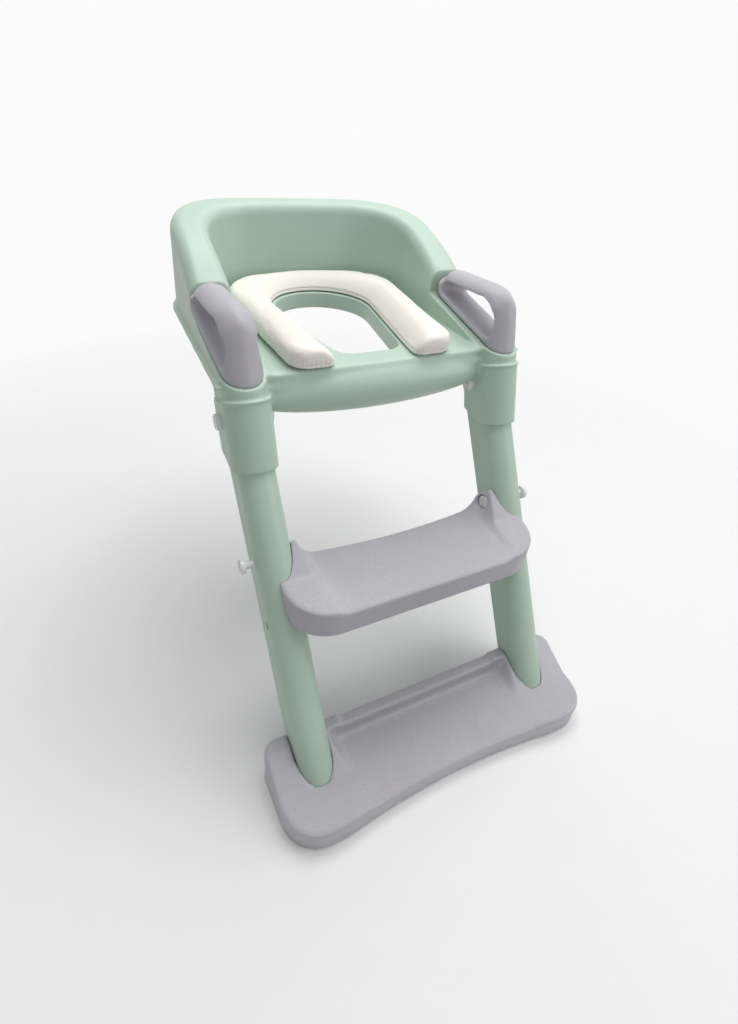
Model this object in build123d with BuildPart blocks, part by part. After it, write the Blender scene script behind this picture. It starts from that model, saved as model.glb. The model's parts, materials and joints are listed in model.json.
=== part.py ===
from build123d import *
from math import sin, cos, asin, atan2, hypot, pi, radians
import os

# Potty training seat: a padded seat ring with a U-shaped backrest and two
# loop handles, carried on a two-step ladder that folds back under the seat.
# X runs across the seat, Y from the steps towards the backrest, Z up.
# Millimetres. The origin is on the floor, in the middle of the whole outline.

os.makedirs("parts", exist_ok=True)

# Clearances shared by all pieces
gap = 0.3               # between pieces that move past each other
fit_gap = 0.6           # round a leg in its socket or notch
pin_clearance = 0.05    # radial, bolt shank in a pivot hole
overrun = 40.0          # cutters run this far past what they cut

# Ladder driving sizes
base_front_reach = 49.0     # from the foot of a leg forward to the base's front
base_rear_reach = 58.0
seat_rear_reach = 512.0     # from the foot of a leg back to the backrest's flange
foot_height = 32.0          # where a leg's front line leaves the base
leg_lean = 31.8             # degrees from upright
leg_spread = 147.0          # centre of a leg from the middle
strip_margin = 1.2          # the base's strip stands out this far
foot_y = (base_front_reach + strip_margin - seat_rear_reach) / 2

# Legs, U channels open at the rear
leg_width = 38.0
leg_depth = 44.0
leg_wall = 3.0
bolt_depth = 23.0           # bolt line behind the front of a leg
pivot_run = 385.0           # along a leg, from its foot to the fold pivot
step_run = 243.0            # to the middle step's bolt
step_hole_pitch = 67.0      # down to the other height for the step

# Collars of the seat, which wrap the front of each leg
collar_lean = 18.0
collar_wall = 3.5
collar_side_gap = 0.8
collar_run = 67.0           # height of a collar along its own line
collar_depth = 53.0
collar_rim_reach = 171.3    # front of its lower rim, from the foot of a leg
collar_rim_height = 315.0
collar_sweep_depth = 24.0   # the lower edge rises to the rear from here
collar_sweep_rise = 15.0
column_step = 1.6           # a column is this much slimmer than its collar
column_run = 40.0

# Seat shell
flange_height = 384.0
flange_lip = 4.0
flange_thickness = 2.5
shell_wall = 3.0
deck_height = 390.0
arm_half_width = 170.0
back_half_width = 160.0
back_bow = 12.0
back_corner_radius = 95.0
arm_front_reach = 216.0
basin_half_width = 120.0
basin_rear_inset = 43.0     # width of the rim at the rear
basin_corner_radius = 66.0
rim_top = 486.0
rim_front_top = 440.0
rim_front_reach = 332.0
rim_radius = 13.0
draft = 2.0                 # degrees

# Handle seat on the arms
saddle_front_reach = 198.0
saddle_front_height = 388.0
saddle_rear_height = 415.0

# Hole and ring
hole_radius = 58.0
hole_rear_reach = 432.0
hole_front_reach = 243.0
hole_front_radius = 22.0
hole_front_spread = 18.0    # centres of the front corners from the middle
ring_skirt_bottom = 371.0

# Splash apron between the columns
apron_reach = 228.0
apron_height = 364.0
apron_depth = 28.0
apron_rise = 23.0
apron_neck_reach = 242.0
apron_neck_depth = 15.0
apron_neck_rise = 12.0

# Cushion
cushion_thickness = 23.0
cushion_half_width = 108.0
cushion_rear_gap = 2.5
cushion_corner_radius = 60.0
cushion_bow = 8.0
cushion_front_reach = 212.0
cushion_mouth_half_width = 43.0
cushion_tip_radius = 14.0
cushion_front_half_width = 95.0
cushion_front_radius = 22.0
cushion_hole_margin = 2.0
cushion_crown = 9.0         # how far the top draws in from the sides
# the pad's edge from bottom to top, as shares of its thickness and its crown
crown_shares = [(0, 0.35), (0.14, 0.08), (0.4, 0), (0.7, 0.1), (0.9, 0.45), (1, 1)]
peg_radius = 4.0
peg_length = 9.0
peg_front_x = 72.0
peg_front_reach = 246.0
peg_rear_x = 78.0
peg_rear_reach = 405.0

# Handles
handle_width = 40.0
handle_front_reach = 195.0      # before its front is rounded like the column's
handle_front_step = 3.8         # its round front stands this far behind the collar's line
handle_front_set = 8.5          # its front leans back this far up to the crown
handle_rear_gap = 1.2           # to the end of the backrest's rim
handle_crown_height = 450.0
handle_crown_drop = 5.0         # the crown is this much lower at the rear
handle_front_radius = 38.0
handle_rear_radius = 17.0
handle_toe_radius = 2.0
handle_heel_radius = 9.0
handle_top_bar = 12.5           # thickness over, before, under and behind the hole
handle_front_bar = 13.0
handle_foot_bar = 7.0
handle_rear_bar = 12.5
handle_hole_radius = 8.0
handle_round = 5.0
handle_hole_round = 3.0
handle_screw_front_reach = 270.0
handle_screw_rear_reach = 308.0
screw_radius = 1.8
screw_head_radius = 3.6
screw_head_thickness = 2.2
screw_bite = 5.0

# Middle step
step_half_width = 151.0
step_front_reach = 63.0
step_rear_reach = 168.0
step_rear_hollow = 15.0
step_bottom = 184.0
step_tread = 211.0
step_corner_radius = 46.0
step_wall = 3.0
step_end_inside = 98.0      # where the ramps to the raised ends begin
step_end_slope = 15.0
step_end_front_rise = 5.0
step_ear_top = 245.0
step_ear_length = 32.0
step_ear_web = 4.0
rib = 2.5
rib_pitch = 48.0
rib_count = 5
ramp_radius = 9.0

# Base step
base_half_width = 196.0
base_tread = 28.0
base_hollow = 10.0
base_bulge_half = 138.0
base_corner_radius = 40.0
base_rear_wall = 47.0
base_rear_wall_thickness = 15.0
base_end_inside = 106.0
base_end_slope = 14.0
base_end_front_rise = 3.0
base_end_top = 51.0
base_bulge_radius = 60.0
base_rear_radius = 16.0
base_wall = 3.0
foot_screw_drop = 6.0
leg_bottom = 5.3
strip_height = 2.0

# Bolts: a slotted screw with a slotted barrel nut in its far end
bolt_radius = 4.0
nut_sleeve_radius = 5.5
head_radius = 8.0
head_thickness = 5.0
head_round = 1.5
nut_bite = 3.0
slot_width = 2.0
slot_depth = 1.6
step_bolt_standout = 10.0

lean_sin, lean_cos = sin(radians(leg_lean)), cos(radians(leg_lean))
collar_sin, collar_cos = sin(radians(collar_lean)), cos(radians(collar_lean))
sides = {"left": -1, "right": 1}


def from_foot(reach):
    return foot_y + reach


def on_leg(run, depth):
    """Y and Z of a place on a leg's side, run up its front and depth behind it."""
    return (foot_y + run * lean_sin + depth * lean_cos,
            foot_height + run * lean_cos - depth * lean_sin)


def on_collar(run, depth):
    return (from_foot(collar_rim_reach) + run * collar_sin + depth * collar_cos,
            collar_rim_height + run * collar_cos - depth * collar_sin)


def leg_plane(side, run):
    y, z = on_leg(run, 0)
    return Plane(origin=(side * leg_spread, y, z), x_dir=(1, 0, 0), z_dir=(0, lean_sin, lean_cos))


def collar_plane(side, run):
    y, z = on_collar(run, 0)
    return Plane(origin=(side * leg_spread, y, z), x_dir=(1, 0, 0),
                 z_dir=(0, collar_sin, collar_cos))


def round_front(plane, width, front, rear):
    """A profile with a half-round front and flat sides, open space behind it."""
    half = width / 2
    with BuildSketch(plane) as profile:
        with BuildLine():
            ThreePointArc((-half, front + half), (0, front), (half, front + half))
            Polyline((half, front + half), (half, rear), (-half, rear), (-half, front + half))
        make_face()
    return profile.sketch


pivot_y, pivot_z = on_leg(pivot_run, bolt_depth)
step_bolt_y, step_bolt_z = on_leg(step_run, bolt_depth)
collar_width = leg_width + 2 * (collar_side_gap + collar_wall)
column_width = collar_width - 2 * column_step


def side_plane(x):
    return Plane(origin=(x, 0, 0), x_dir=(0, 1, 0), z_dir=(1, 0, 0))


def cross_hole(x, y, z, radius, length, mode=Mode.SUBTRACT):
    """A round hole or pin along X, centred on x."""
    with BuildSketch(side_plane(x)) as round_end:
        with Locations((y, z)):
            Circle(radius)
    extrude(round_end.sketch, amount=length / 2, both=True, mode=mode)


# Seat shell
def seat_plan(plane, inset, front):
    """The seat's outline from above, drawn in by inset."""
    rear = from_foot(seat_rear_reach - flange_lip)
    corner = rear - back_bow
    with BuildSketch(plane) as plan:
        with BuildLine():
            Line((arm_half_width, front), (back_half_width, corner))
            ThreePointArc((back_half_width, corner), (0, rear), (-back_half_width, corner))
            Polyline((-back_half_width, corner), (-arm_half_width, front), (arm_half_width, front))
        make_face()
        rear_corners = vertices().group_by(Axis.Y)[-1]
        fillet(rear_corners, back_corner_radius)
        if inset:
            offset(amount=-inset)
    return plan.sketch


def basin_plan(plane, spread):
    """The space inside the backrest, open towards the steps."""
    rear = from_foot(seat_rear_reach - flange_lip) - basin_rear_inset
    front = from_foot(apron_reach) - 2 * apron_depth - overrun
    with BuildSketch(plane) as plan:
        with BuildLine():
            Line((basin_half_width, front), (basin_half_width, rear - back_bow))
            ThreePointArc((basin_half_width, rear - back_bow), (0, rear),
                          (-basin_half_width, rear - back_bow))
            Polyline((-basin_half_width, rear - back_bow), (-basin_half_width, front),
                     (basin_half_width, front))
        make_face()
        rear_corners = vertices().group_by(Axis.Y)[-1]
        fillet(rear_corners, basin_corner_radius)
        if spread:
            offset(amount=spread)
    return plan.sketch


def taut_plan(plane, rounds):
    """An outline drawn taut round circles, anticlockwise, each as x, y and radius.

    A circle with a negative radius is one that the outline bends round inwards.
    """
    normals = []
    for (x, y, radius), (next_x, next_y, next_radius) in zip(rounds, rounds[1:] + rounds[:1]):
        run = hypot(next_x - x, next_y - y)
        along = atan2(next_y - y, next_x - x)
        normals.append(along - pi / 2 + asin((radius - next_radius) / run))
    with BuildSketch(plane) as plan:
        with BuildLine():
            for place, (x, y, radius) in enumerate(rounds):
                start = normals[place - 1]
                turn = (normals[place] - start) % (2 * pi)
                end = start + turn - (0 if radius > 0 else 2 * pi)
                on_round = [(x + radius * cos(angle), y + radius * sin(angle))
                            for angle in (start, (start + end) / 2, end)]
                ThreePointArc(*on_round)
                next_x, next_y, next_radius = rounds[(place + 1) % len(rounds)]
                Line(on_round[-1], (next_x + next_radius * cos(end), next_y + next_radius * sin(end)))
        make_face()
    return plan.sketch


def hole_plan(plane, spread):
    """The hole in the seat, wide at the rear and blunt at the front."""
    rear_centre = from_foot(hole_rear_reach) - hole_radius
    front_centre = from_foot(hole_front_reach) + hole_front_radius
    return taut_plan(plane, [
        (0, rear_centre, hole_radius + spread),
        (-hole_front_spread, front_centre, hole_front_radius + spread),
        (hole_front_spread, front_centre, hole_front_radius + spread)])


def below_line(points, half_length, centre=0):
    """A prism along X over the polygon given in Y and Z."""
    with BuildPart() as block:
        with BuildSketch(side_plane(centre)):
            with BuildLine():
                Polyline(*points, close=True)
            make_face()
        extrude(amount=half_length, both=True)
    return block.part


def saddle_point(reach, rise):
    """A place on the sloping top of an arm, where the handle sits."""
    return from_foot(reach), saddle_front_height + (reach - saddle_front_reach) * saddle_slope + rise


def above_saddle(inset, rear_reach):
    """All that lies over an arm's sloping top, as far back as the rim's front end."""
    front, rear = from_foot(saddle_front_reach) - overrun, from_foot(rear_reach)
    sky = rim_top + overrun
    low = saddle_point(saddle_front_reach - overrun, -inset)
    high = saddle_point(rear_reach, -inset)
    return below_line([low, high, (rear, sky), (front, sky)], arm_half_width + overrun)


def body_over(plan, basin, top):
    """The seat's plan raised to the given height, with the space inside cut out."""
    with BuildPart() as block:
        extrude(plan, amount=top - flange_height, taper=draft)
        extrude(basin, amount=rim_top + overrun - deck_height, taper=-draft, mode=Mode.SUBTRACT)
    return block.part


def rim_form(inset, crest_inset, rounding):
    """The seat's body above its flange: deck, arms and rolled backrest rim."""
    front = from_foot(arm_front_reach)
    rear = from_foot(seat_rear_reach)
    plan = seat_plan(Plane.XY.offset(flange_height), inset, front)
    basin = basin_plan(Plane.XY.offset(deck_height - inset), inset)
    crest_y = rear - basin_rear_inset / 2
    crest_top = rim_top - crest_inset
    crest_drop = rim_top - rim_front_top
    crest_chord = crest_y - from_foot(rim_front_reach)
    crest_radius = (crest_chord ** 2 + crest_drop ** 2) / (2 * crest_drop)
    with BuildPart() as rim:
        add(body_over(plan, basin, rim_top + overrun))
        with BuildSketch(side_plane(0)):
            with Locations((crest_y, crest_top - crest_radius)):
                Circle(crest_radius)
            with Locations((rear + overrun, crest_top)):
                Rectangle(rear + overrun - crest_y, rim_top, align=(Align.MAX, Align.MAX))
        extrude(amount=arm_half_width + overrun, both=True, mode=Mode.INTERSECT)
        if rounding:
            crest = faces().filter_by(lambda face: face.normal_at().Z > lean_sin
                                      and face.center().Z > deck_height + shell_wall)
            rim_edges = crest.edges()
            rim_edges = ShapeList(edge for edge in rim_edges if rim_edges.count(edge) == 1
                                  and edge.center().Z > deck_height + shell_wall)
            fillet(rim_edges, rounding)
        add(above_saddle(inset, rim_front_reach + inset), mode=Mode.SUBTRACT)
    with BuildPart() as form:
        add(body_over(plan, basin, saddle_rear_height))
        add(above_saddle(inset, seat_rear_reach + overrun), mode=Mode.SUBTRACT)
        add(rim.part)
    return form.part


def apron_form(inset):
    """A bulging bar between the columns, slimmer where it meets them."""
    end = leg_spread - (column_width + channel_width) / 4
    stations = 7
    with BuildPart() as bar:
        for station in range(stations):
            share = 2 * station / (stations - 1) - 1
            bulge = 1 - share ** 2
            reach = apron_neck_reach + (apron_reach - apron_neck_reach) * bulge
            depth = apron_neck_depth + (apron_depth - apron_neck_depth) * bulge - inset
            rise = apron_neck_rise + (apron_rise - apron_neck_rise) * bulge - inset
            with BuildSketch(side_plane(share * end)):
                with Locations((from_foot(reach), apron_height)):
                    Ellipse(depth, rise)
        loft()
    return bar.part


channel_width = leg_width + 2 * collar_side_gap
pivot_on_collar = ((pivot_y - from_foot(collar_rim_reach)) * collar_sin
                   + (pivot_z - collar_rim_height) * collar_cos)
swing_radius = bolt_depth + collar_side_gap
swing_top = (pivot_y + swing_radius * collar_sin, pivot_z + swing_radius * collar_cos)
swing_rear = (pivot_y + collar_depth * collar_cos, pivot_z - collar_depth * collar_sin)
swing_rear_top = (swing_rear[0] + swing_radius * collar_sin,
                  swing_rear[1] + swing_radius * collar_cos)
peg_places = [(side * x, from_foot(reach)) for side in (-1, 1)
              for x, reach in ((peg_front_x, peg_front_reach), (peg_rear_x, peg_rear_reach))]
screw_reaches = (handle_screw_front_reach, handle_screw_rear_reach)
saddle_slope = (saddle_rear_height - saddle_front_height) / (rim_front_reach - saddle_front_reach)


def saddle_plane(x, reach):
    """On an arm's sloping top, facing square out of it."""
    y, z = saddle_point(reach, 0)
    return Plane(origin=(x, y, z), x_dir=(1, 0, 0), z_dir=(0, -saddle_slope, 1))


def arm_tops():
    """What lies over the arms' sloping tops, but not over the space between them."""
    with BuildPart() as block:
        add(above_saddle(0, rim_front_reach))
        with BuildSketch(Plane.XY.offset(flange_height)):
            with Locations((0, from_foot(arm_front_reach) - overrun)):
                Rectangle(2 * basin_half_width, 2 * seat_rear_reach)
        extrude(amount=rim_top, mode=Mode.SUBTRACT)
    return block.part


def shell_hollow():
    """The open underside, which leaves a wall all round and the columns whole."""
    with BuildPart() as block:
        add(rim_form(shell_wall, rim_radius, 0))
        extrude(hole_plan(Plane.XY.offset(ring_skirt_bottom), shell_wall),
                amount=rim_top - ring_skirt_bottom, mode=Mode.SUBTRACT)
        for side in sides.values():
            extrude(round_front(collar_plane(side, 0), column_width, 0, collar_depth),
                    amount=collar_run + column_run, mode=Mode.SUBTRACT)
    return block.part


with BuildPart() as seat_shell:
    add(rim_form(0, 0, rim_radius))
    add(apron_form(0))
    for side in sides.values():
        extrude(round_front(collar_plane(side, 0), collar_width, 0, collar_depth),
                amount=collar_run)
        extrude(round_front(collar_plane(side, collar_run), column_width, column_step,
                            collar_depth), amount=column_run)
    sweep_low = on_collar(0, collar_sweep_depth)
    sweep_high = on_collar(collar_sweep_rise, collar_depth + gap)
    add(below_line([sweep_low, sweep_high, on_collar(-overrun, collar_depth + overrun),
                    on_collar(-overrun, collar_sweep_depth)], arm_half_width + overrun),
        mode=Mode.SUBTRACT)
    add(arm_tops(), mode=Mode.SUBTRACT)
    for side in sides.values():
        extrude(round_front(collar_plane(side, -overrun), channel_width, collar_wall,
                            collar_depth + overrun), amount=overrun + pivot_on_collar,
                mode=Mode.SUBTRACT)
        cross_hole(side * leg_spread, pivot_y, pivot_z, swing_radius, channel_width)
        add(below_line([(pivot_y, pivot_z), swing_top, swing_rear_top, swing_rear],
                       channel_width / 2, side * leg_spread), mode=Mode.SUBTRACT)
        cross_hole(side * leg_spread, pivot_y, pivot_z, bolt_radius + pin_clearance,
                   collar_width + overrun)
    add(shell_hollow(), mode=Mode.SUBTRACT)
    extrude(hole_plan(Plane.XY.offset(ring_skirt_bottom), shell_wall),
            amount=deck_height - ring_skirt_bottom)
    extrude(hole_plan(Plane.XY.offset(ring_skirt_bottom - overrun), 0),
            amount=rim_top, mode=Mode.SUBTRACT)
    with BuildSketch(Plane.XY.offset(flange_height)):
        add(seat_plan(Plane.XY, -flange_lip, from_foot(arm_front_reach)))
        add(seat_plan(Plane.XY, shell_wall, from_foot(arm_front_reach) - overrun),
            mode=Mode.SUBTRACT)
    extrude(amount=flange_thickness)
    for x, y in peg_places:
        with BuildSketch(Plane.XY.offset(flange_height - overrun)):
            with Locations((x, y)):
                Circle(peg_radius + gap)
        extrude(amount=2 * overrun, mode=Mode.SUBTRACT)
    for side in sides.values():
        for reach in screw_reaches:
            with BuildSketch(saddle_plane(side * leg_spread, reach).offset(-overrun)):
                Circle(screw_radius + pin_clearance)
            extrude(amount=2 * overrun, mode=Mode.SUBTRACT)
seat_shell.part.label = "seat_shell"

# Cushion: a horseshoe pad with a crowned top and drawn-in sides
cushion_bottom = deck_height + gap
cushion_rear = from_foot(seat_rear_reach - flange_lip) - basin_rear_inset - cushion_rear_gap
cushion_front = from_foot(cushion_front_reach)


def cushion_plan(plane, inset):
    """The horseshoe, drawn in by inset all round."""
    corner_x = cushion_half_width - cushion_corner_radius
    corner_y = cushion_rear - cushion_corner_radius - cushion_bow
    front_x = cushion_front_half_width - cushion_front_radius
    front_y = cushion_front + cushion_front_radius
    tip_x = cushion_mouth_half_width + cushion_tip_radius
    tip_y = cushion_front + cushion_tip_radius
    hole_y = from_foot(hole_rear_reach) - hole_radius
    rounds = [(0, cushion_rear - cushion_half_width, cushion_half_width),
              (-corner_x, corner_y, cushion_corner_radius),
              (-front_x, front_y, cushion_front_radius),
              (-tip_x, tip_y, cushion_tip_radius),
              (0, hole_y, -(hole_radius + cushion_hole_margin)),
              (tip_x, tip_y, cushion_tip_radius),
              (front_x, front_y, cushion_front_radius),
              (corner_x, corner_y, cushion_corner_radius)]
    return taut_plan(plane, [(x, y, radius - inset) for x, y, radius in rounds])


with BuildPart() as seat_cushion:
    for height_share, inset_share in crown_shares:
        add(cushion_plan(Plane.XY.offset(cushion_bottom + height_share * cushion_thickness),
                         inset_share * cushion_crown))
    loft()
seat_cushion.part.label = "seat_cushion"

with BuildPart() as cushion_pegs:
    for x, y in peg_places:
        with BuildSketch(Plane.XY.offset(cushion_bottom)):
            with Locations((x, y)):
                Circle(peg_radius)
        extrude(amount=-peg_length)
cushion_pegs.part.label = "cushion_pegs"


# Loop handles
handle_rear_reach = rim_front_reach - handle_rear_gap
handle_half = handle_width / 2
saddle_secant = hypot(1, saddle_slope)


def on_saddle(reach, rise, radius):
    """A round of an outline seen from the side, its rim this far over the arm's top."""
    return *saddle_point(reach, (rise + radius) * saddle_secant), radius


def handle_outline():
    toe_reach = handle_front_reach + handle_toe_radius
    heel_reach = handle_rear_reach - handle_heel_radius - handle_toe_radius
    crown_rear = (from_foot(handle_rear_reach) - handle_rear_radius,
                  handle_crown_height - handle_crown_drop - handle_rear_radius)
    crown_front = (from_foot(handle_front_reach) + handle_front_set + handle_front_radius,
                   handle_crown_height - handle_front_radius)
    return taut_plan(side_plane(0), [on_saddle(toe_reach, 0, handle_toe_radius),
                                     on_saddle(heel_reach, 0, handle_heel_radius),
                                     (*crown_rear, handle_rear_radius),
                                     (*crown_front, handle_front_radius)])


def handle_hole():
    front_reach = handle_front_reach + handle_front_set + handle_front_bar
    rear_reach = handle_rear_reach - handle_rear_bar
    top_radius = handle_front_radius - handle_front_bar
    return taut_plan(side_plane(0), [
        on_saddle(front_reach + handle_hole_radius, handle_foot_bar, handle_hole_radius),
        on_saddle(rear_reach - handle_hole_radius, handle_foot_bar, handle_hole_radius),
        (from_foot(front_reach) + top_radius, handle_crown_height - handle_top_bar - top_radius,
         top_radius)])


def loop_handle(side):
    with BuildPart() as handle:
        extrude(handle_outline(), amount=handle_half, both=True)
        rims = edges().filter_by(lambda edge: abs(edge.center().X) > handle_half / 2)
        fillet(rims.filter_by(lambda edge: edge.center().Z > saddle_point(
            edge.center().Y - foot_y, handle_toe_radius / 2)[1]), handle_round)
        blank_edges = edges()
        extrude(handle_hole(), amount=handle_half + overrun, both=True, mode=Mode.SUBTRACT)
        fillet(ShapeList(edge for edge in edges() if edge not in blank_edges
                         and abs(edge.center().X) > handle_half / 2), handle_hole_round)
        extrude(round_front(collar_plane(0, 0), handle_width, handle_front_step, seat_rear_reach),
                amount=rim_top, mode=Mode.INTERSECT)
        for reach in screw_reaches:
            with BuildSketch(saddle_plane(0, reach)):
                Circle(screw_radius + pin_clearance)
            extrude(amount=screw_bite + gap, mode=Mode.SUBTRACT)
    return Pos(side * leg_spread, 0, 0) * handle.part


handle_left = loop_handle(sides["left"])
handle_left.label = "handle_left"
handle_right = loop_handle(sides["right"])
handle_right.label = "handle_right"

with BuildPart() as handle_screws:
    for side in sides.values():
        for reach in screw_reaches:
            seat = saddle_plane(side * leg_spread, reach).offset(-shell_wall)
            with BuildSketch(seat):
                Circle(screw_radius)
            extrude(amount=shell_wall + screw_bite)
            with BuildSketch(seat):
                Circle(screw_head_radius)
            extrude(amount=-screw_head_thickness)
handle_screws.part.label = "handle_screws"


# Legs
def leg_channel(side):
    with BuildPart() as leg:
        below = foot_height + leg_depth
        extrude(round_front(leg_plane(side, -below), leg_width, 0, leg_depth),
                amount=below + pivot_run)
        cross_hole(side * leg_spread, pivot_y, pivot_z, bolt_depth, leg_width, Mode.ADD)
        extrude(round_front(leg_plane(side, -below - overrun), leg_width - 2 * leg_wall,
                            leg_wall, leg_depth + overrun),
                amount=below + pivot_run + 2 * overrun, mode=Mode.SUBTRACT)
        with BuildSketch(Plane.XY.offset(leg_bottom)):
            with Locations((side * leg_spread, 0)):
                Rectangle(2 * leg_width, 4 * base_half_width)
        extrude(amount=-2 * overrun, mode=Mode.SUBTRACT)
        for run in (pivot_run, step_run, step_run - step_hole_pitch):
            y, z = on_leg(run, bolt_depth)
            cross_hole(side * leg_spread, y, z, bolt_radius + pin_clearance,
                       leg_width + overrun)
        cross_hole(side * (leg_spread - leg_width / 2), foot_screw_y, foot_screw_z,
                   screw_radius + pin_clearance, 2 * leg_wall + gap)
    return leg.part


foot_screw_y, foot_screw_z = on_leg(-foot_screw_drop, bolt_depth)
leg_left = leg_channel(sides["left"])
leg_left.label = "leg_left"
leg_right = leg_channel(sides["right"])
leg_right.label = "leg_right"


def leg_room(side, spread, bottom_run, top_run, rear):
    """The space a leg takes, opened out by spread."""
    with BuildPart() as room:
        extrude(round_front(leg_plane(side, bottom_run), leg_width + 2 * spread, -spread, rear),
                amount=top_run - bottom_run)
    return room.part


# Middle step
def raised_ends(inside, slope, bottom, top, front, rear):
    """Cuts the tread out between the raised ends, with a soft foot to each ramp."""
    with BuildPart() as cut:
        with BuildSketch(Plane(origin=(0, rear, 0), x_dir=(1, 0, 0), z_dir=(0, -1, 0))):
            with BuildLine():
                Polyline((-inside, bottom), (inside, bottom), (inside + slope, top),
                         (-inside - slope, top), close=True)
            make_face()
            fillet(vertices().group_by(Axis.Y)[0], ramp_radius)
        extrude(amount=rear - front)
    return cut.part


step_rear = from_foot(step_rear_reach)
step_front = from_foot(step_front_reach)


def step_plan(plane, inset):
    with BuildSketch(plane) as plan:
        with BuildLine():
            ThreePointArc((step_half_width, step_rear), (0, step_rear - step_rear_hollow),
                          (-step_half_width, step_rear))
            Polyline((-step_half_width, step_rear), (-step_half_width, step_front),
                     (step_half_width, step_front), (step_half_width, step_rear))
        make_face()
        fillet(vertices().group_by(Axis.Y)[0], step_corner_radius)
        if inset:
            offset(amount=-inset)
    return plan.sketch


def step_hollow():
    """The open underside of the middle step, which leaves its ribs and leg notches."""
    with BuildPart() as block:
        extrude(step_plan(Plane.XY.offset(step_bottom), step_wall),
                amount=step_tread - step_wall - step_bottom)
        for side in sides.values():
            add(leg_room(side, fit_gap + step_wall, 0, pivot_run, leg_depth + 2 * overrun),
                mode=Mode.SUBTRACT)
        with BuildSketch(Plane.XY.offset(step_bottom + step_wall)):
            with Locations((0, step_front)):
                with GridLocations(rib_pitch, 0, rib_count, 1):
                    Rectangle(rib, 2 * step_rear_reach)
        extrude(amount=step_tread, mode=Mode.SUBTRACT)
    return block.part


ear_inside = leg_spread - leg_width / 2 - fit_gap
pocket_floor = ear_inside - step_ear_web
with BuildPart() as middle_step:
    extrude(step_plan(Plane.XY.offset(step_bottom), 0), amount=step_ear_top - step_bottom)
    add(raised_ends(step_end_inside, step_end_slope, step_tread, step_ear_top + gap,
                    step_front - overrun, step_rear + overrun), mode=Mode.SUBTRACT)
    ear_front = (step_front, step_tread + step_end_front_rise)
    ear_mid = (step_bolt_y - step_ear_length, step_tread + 2 * step_end_front_rise)
    ear_top = (step_bolt_y, step_ear_top)
    ear_rear = (step_rear, step_tread + 2 * step_end_front_rise)
    sky = step_ear_top + overrun
    add(below_line([(step_front - overrun, ear_front[1]), ear_front, ear_mid, ear_top, ear_rear,
                    (step_rear + overrun, ear_rear[1]), (step_rear + overrun, sky),
                    (step_front - overrun, sky)], step_half_width + overrun),
        mode=Mode.SUBTRACT)
    for side in sides.values():
        add(leg_room(side, fit_gap, 0, pivot_run, leg_depth + 2 * overrun), mode=Mode.SUBTRACT)
    add(step_hollow(), mode=Mode.SUBTRACT)
    for side in sides.values():
        cross_hole(side * ear_inside, step_bolt_y, step_bolt_z, bolt_radius + pin_clearance,
                   2 * overrun)
        cross_hole(side * (pocket_floor - overrun / 2), step_bolt_y, step_bolt_z,
                   head_radius + 2 * fit_gap, overrun)
middle_step.part.label = "middle_step"

# Base step
base_rear = from_foot(base_rear_reach)
base_front = from_foot(-base_front_reach)


def base_plan(plane, inset):
    with BuildSketch(plane) as plan:
        with BuildLine():
            ThreePointArc((-base_bulge_half, base_front), (0, base_front + base_hollow),
                          (base_bulge_half, base_front))
            Polyline((base_bulge_half, base_front), (base_half_width, base_front),
                     (base_half_width, base_rear), (-base_half_width, base_rear),
                     (-base_half_width, base_front), (-base_bulge_half, base_front))
        make_face()
        fillet(vertices().group_by(Axis.Y)[0].filter_by_position(
            Axis.X, -base_bulge_half - gap, base_bulge_half + gap), base_bulge_radius)
        fillet(vertices().filter_by_position(Axis.X, base_half_width - gap, base_half_width + gap)
               .group_by(Axis.Y)[0], base_corner_radius)
        fillet(vertices().filter_by_position(Axis.X, -base_half_width - gap, -base_half_width + gap)
               .group_by(Axis.Y)[0], base_corner_radius)
        fillet(vertices().group_by(Axis.Y)[-1], base_rear_radius)
        if inset:
            offset(amount=-inset)
    return plan.sketch


def base_hollow_form():
    """The open underside of the base, which leaves its ribs and the leg sockets."""
    with BuildPart() as block:
        extrude(base_plan(Plane.XY.offset(strip_height), base_wall),
                amount=base_tread - base_wall - strip_height)
        for side in sides.values():
            add(leg_room(side, fit_gap + base_wall, -2 * overrun, 2 * overrun,
                         leg_depth + fit_gap + base_wall), mode=Mode.SUBTRACT)
        with BuildSketch(Plane.XY.offset(strip_height + base_wall)):
            with Locations((0, from_foot(0))):
                with GridLocations(rib_pitch, 0, rib_count, 1):
                    Rectangle(rib, 4 * base_rear_reach)
        extrude(amount=base_tread, mode=Mode.SUBTRACT)
    return block.part


def leg_sockets():
    """The room for both feet, down to a floor just under them."""
    with BuildPart() as block:
        for side in sides.values():
            add(leg_room(side, fit_gap, -2 * overrun, 2 * overrun, leg_depth + fit_gap))
        with BuildSketch(Plane.XY.offset(leg_bottom - gap)):
            Rectangle(4 * base_half_width, 2 * seat_rear_reach)
        extrude(amount=-2 * overrun, mode=Mode.SUBTRACT)
    return block.part


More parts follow.
